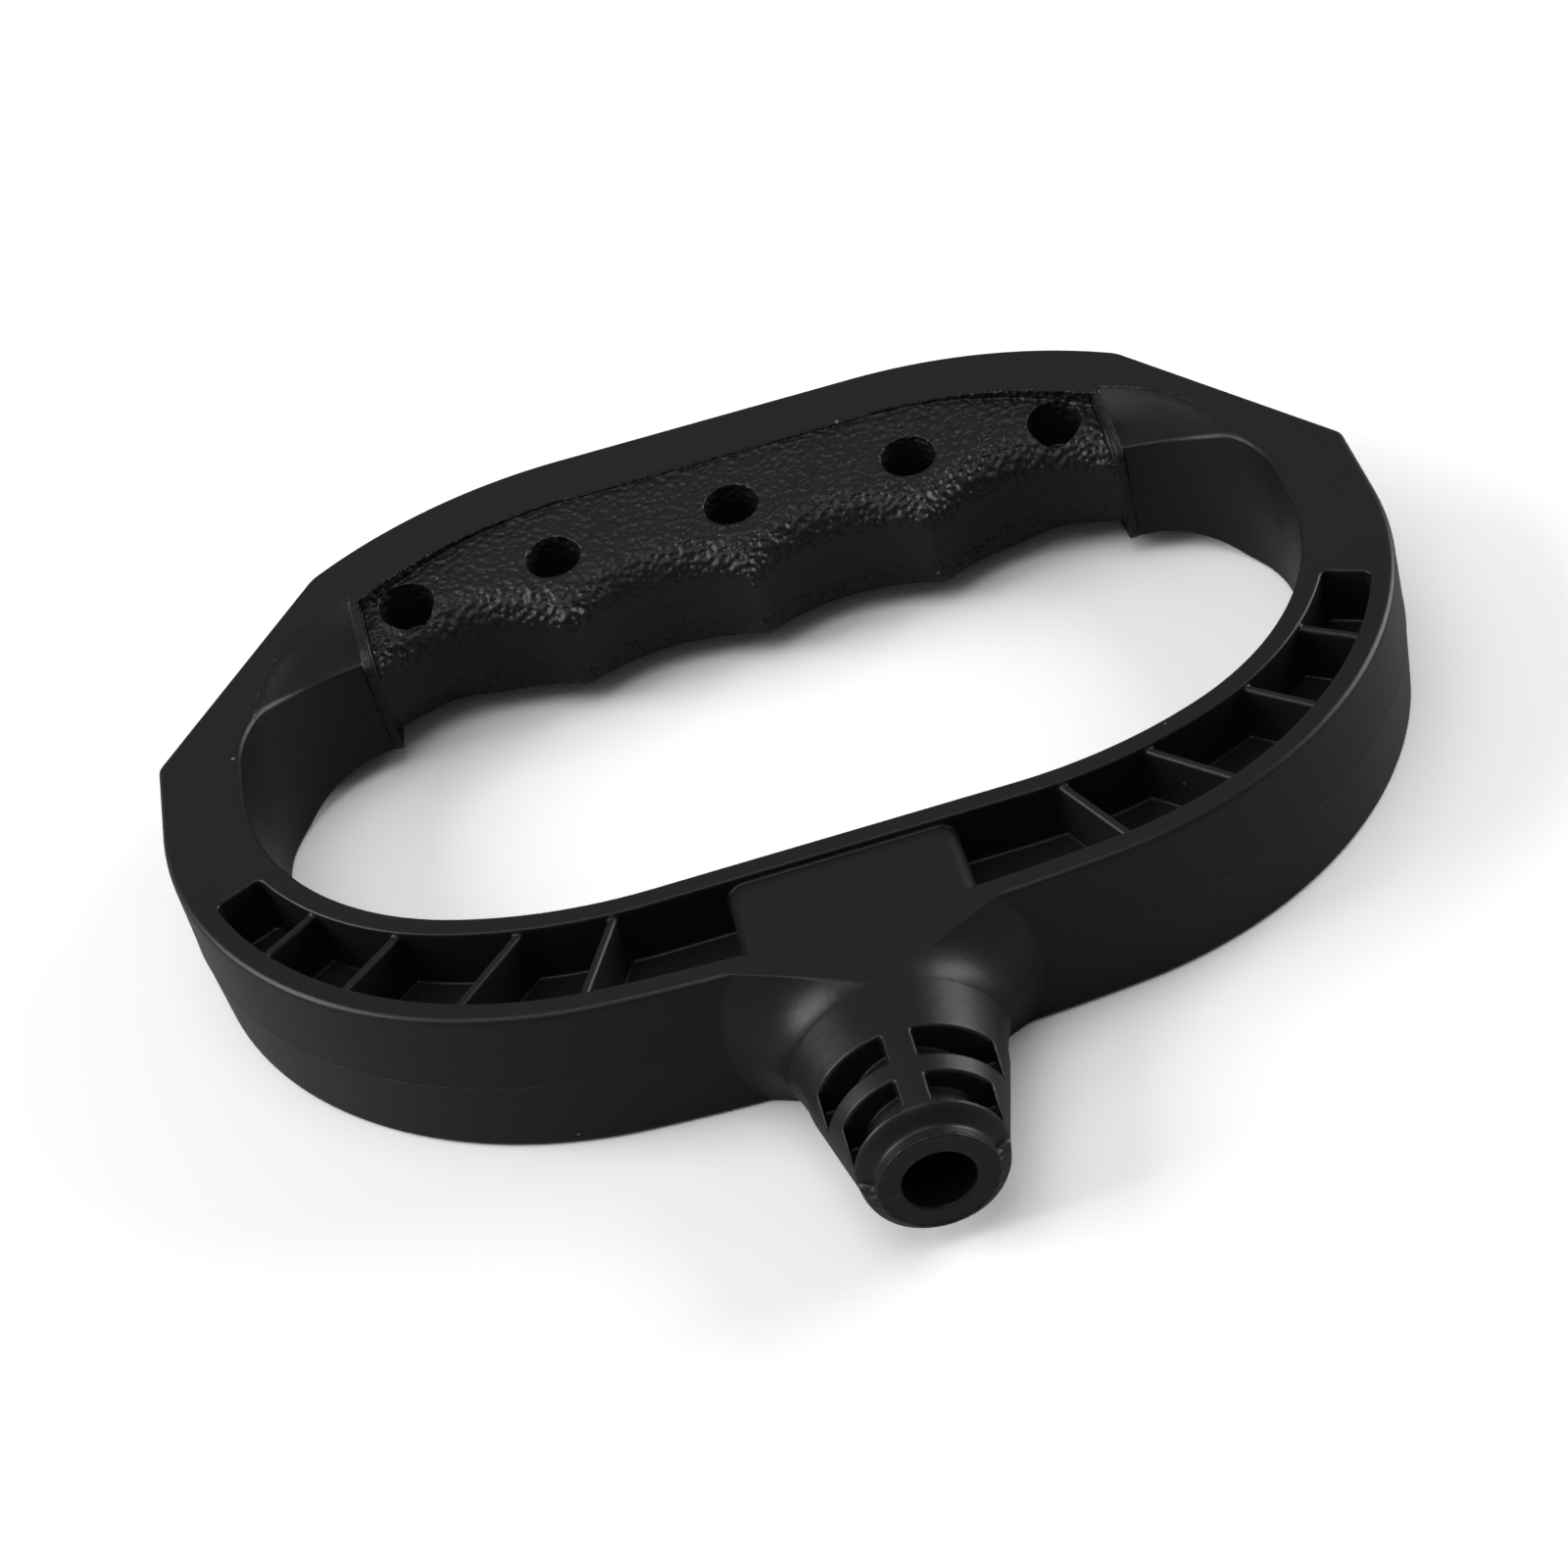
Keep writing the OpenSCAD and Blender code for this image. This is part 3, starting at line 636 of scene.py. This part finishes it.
class OBJECT_OT_starter_handle(bpy.types.Operator):
    """Builds the moulded handle in place of the CAD node"""

    bl_idname = "object.starter_handle"
    bl_label = "Handle"

    def execute(self, context):
        s = context.scene.starter_handle
        shape = Handle()
        h = s.cell
        points, faces, normals = whole(shape, h, s.triangles / 4)
        mesh = to_mesh("handle_moulding", points, faces)
        mesh.polygons.foreach_set("use_smooth", np.ones(len(faces), bool))
        mesh.normals_split_custom_set(normals.reshape(-1, 3).tolist())
        grain = mesh.attributes.new("grain", "FLOAT", "POINT")
        grain.data.foreach_set("value", grain_mask(points).astype(np.float32))
        handle = bpy.data.objects.new("handle_moulding", mesh)
        context.scene.collection.objects.link(handle)
        mesh.materials.append(plastic(s))
        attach(handle, "root")
        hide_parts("handle")
        return {"FINISHED"}


def grain_mask(points):
    """One on the textured panel and on the rounded edge of the grip, fading down its wall."""
    x = np.abs(points[:, 0]) / MM
    y = points[:, 1] / MM - MIDDLE_Y
    w = np.abs(points[:, 2] / MM - MID)
    zone = np.where(x > 20, np.hypot(x - 20, y + 14.9) - 47.4, y - 32.5)
    inside = (zone < 0.1) & (x < 48.4) & (y > 10)
    return np.where(inside, np.clip((w - 1.0) / 3.0, 0, 1), 0)


class OBJECT_OT_starter_handle_stage(bpy.types.Operator):
    """Builds the floor, the lights and the camera"""

    bl_idname = "object.starter_handle_stage"
    bl_label = "Stage"

    def execute(self, context):
        s = context.scene.starter_studio
        scene = context.scene
        mesh = to_mesh("floor", np.array([[-4, -4, 0], [4, -4, 0], [4, 4, 0], [-4, 4, 0]]), np.array([[0, 1, 2, 3]]))
        floor = bpy.data.objects.new("floor", mesh)
        mesh.materials.append(floor_material(s))
        scene.collection.objects.link(floor)
        self.light(scene, "overhead", (-0.15, -0.12, 0.9), (0, 0, 0), 0.75, s.key)
        self.light(scene, "behind", (0.0, 1.0, 0.75), (0, 0, 0), 0.9, s.behind)
        self.light(scene, "left", (-0.8, 0.1, 0.45), (0, 0, 0), 0.6, s.left)
        self.light(scene, "right", (0.8, 0.25, 0.35), (0, 0, 0), 0.6, s.right)
        scene.world = studio_world(s)
        scene.view_settings.view_transform = "Standard"
        self.camera(scene)
        return {"FINISHED"}

    def light(self, scene, name, at, to, size, power):
        data = bpy.data.lights.new(name, "AREA")
        data.size = size
        data.energy = power
        lamp = bpy.data.objects.new(name, data)
        lamp.location = at
        lamp.rotation_mode = "QUATERNION"
        lamp.rotation_quaternion = (Vector(to) - Vector(at)).to_track_quat("-Z", "Y")
        scene.collection.objects.link(lamp)

    def camera(self, scene):
        """The camera that fits the photo: its centre is off the middle, as the photo is a crop."""
        az, el, roll = -7.1913, 42.0, -11.7532
        back = Vector((sin(az) * cos(el), -cos(az) * cos(el), sin(el)))
        right = Vector((cos(az), sin(az), 0))
        up = back.cross(right)
        across = right * cos(roll) + up * sin(roll)
        upward = up * cos(roll) - right * sin(roll)
        data = bpy.data.cameras.new("camera")
        data.sensor_width = 36.0
        data.lens = 3309.8547 / 1600 * 36
        data.shift_x = (800 - 1148.8332) / 1600
        data.shift_y = (895.4235 - 800) / 1600
        data.clip_start = 0.01
        camera = bpy.data.objects.new("camera", data)
        at = (back * 350 + Vector((28.6129, -68.2485 + MIDDLE_Y, 2 * MID))) * MM
        turn = Matrix((across, upward, back)).transposed().to_4x4()
        camera.matrix_world = Matrix.Translation(at) @ turn
        scene.collection.objects.link(camera)
        scene.camera = camera


class VIEW3D_PT_starter_handle(bpy.types.Panel):
    """Lists the steps that build the handle"""

    bl_label = "Starter handle"
    bl_idname = "VIEW3D_PT_starter_handle"
    bl_space_type = "VIEW_3D"
    bl_region_type = "UI"
    bl_category = "Starter handle"

    def draw(self, context):
        column = self.layout.column()
        column.operator(OBJECT_OT_starter_handle.bl_idname)
        column.operator(OBJECT_OT_starter_handle_stage.bl_idname)


CLASSES = (
    HandleSettings,
    StudioSettings,
    OBJECT_OT_starter_handle,
    OBJECT_OT_starter_handle_stage,
    VIEW3D_PT_starter_handle,
)


def register():
    for c in CLASSES:
        bpy.utils.register_class(c)
    bpy.types.Scene.starter_handle = PointerProperty(type=HandleSettings)
    bpy.types.Scene.starter_studio = PointerProperty(type=StudioSettings)


def unregister():
    del bpy.types.Scene.starter_studio
    del bpy.types.Scene.starter_handle
    for c in reversed(CLASSES):
        bpy.utils.unregister_class(c)


def main():
    register()
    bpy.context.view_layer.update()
    bpy.ops.object.starter_handle()
    bpy.ops.object.starter_handle_stage()


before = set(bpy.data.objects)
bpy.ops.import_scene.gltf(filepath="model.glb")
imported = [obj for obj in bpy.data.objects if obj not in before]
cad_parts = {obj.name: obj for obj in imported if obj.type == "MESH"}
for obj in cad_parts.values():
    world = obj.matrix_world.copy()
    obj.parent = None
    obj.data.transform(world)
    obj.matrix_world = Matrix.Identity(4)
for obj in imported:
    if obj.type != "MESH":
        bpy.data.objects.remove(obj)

if __name__ == "__main__":
    main()
